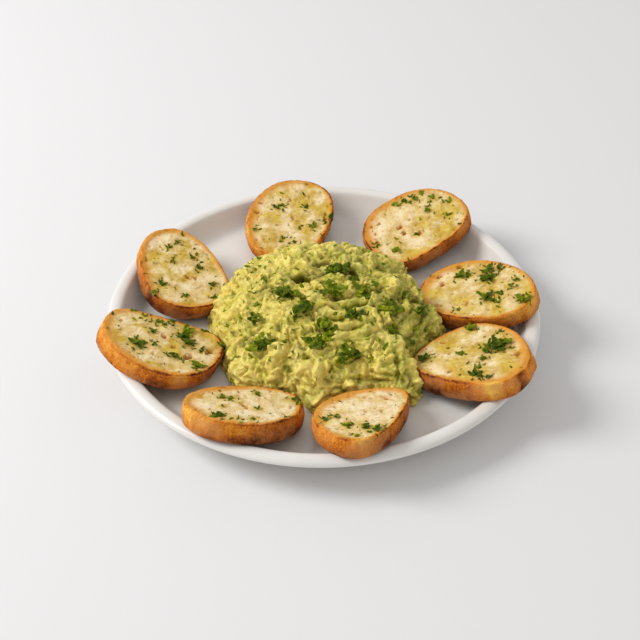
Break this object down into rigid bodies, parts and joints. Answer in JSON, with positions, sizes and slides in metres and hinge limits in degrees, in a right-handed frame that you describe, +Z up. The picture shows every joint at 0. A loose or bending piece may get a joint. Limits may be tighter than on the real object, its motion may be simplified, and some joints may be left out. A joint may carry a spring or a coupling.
{
  "type": "guacamole on a plate with toasted bread",
  "caption": "Round flat plate with a rolled lip, holding a heap of chunky guacamole ringed by slices of herbed toast that lean on the lip.",
  "frame": {"origin": "under the middle of the bounding box, on the surface that the plate's foot stands on", "axes": "+Z up, out of the plate; +Y from the side with two long-side-on slices to the far side"},
  "size_m": [0.2726, 0.271, 0.0465],
  "materials": {
    "plate": "white glazed stoneware, glossy",
    "guacamole": "moist pale yellow-green mash",
    "toast": "toasted bread, golden-brown crust and buttered cream crumb",
    "herb": "fresh green parsley leaf"
  },
  "bodies": {
    "root": {"plate": "plate", "guacamole": "guacamole", "toast_1": "toast", "toast_2": "toast", "toast_3": "toast", "toast_4": "toast", "toast_5": "toast", "toast_6": "toast", "toast_7": "toast", "toast_8": "toast"}
  },
  "joints": []
}
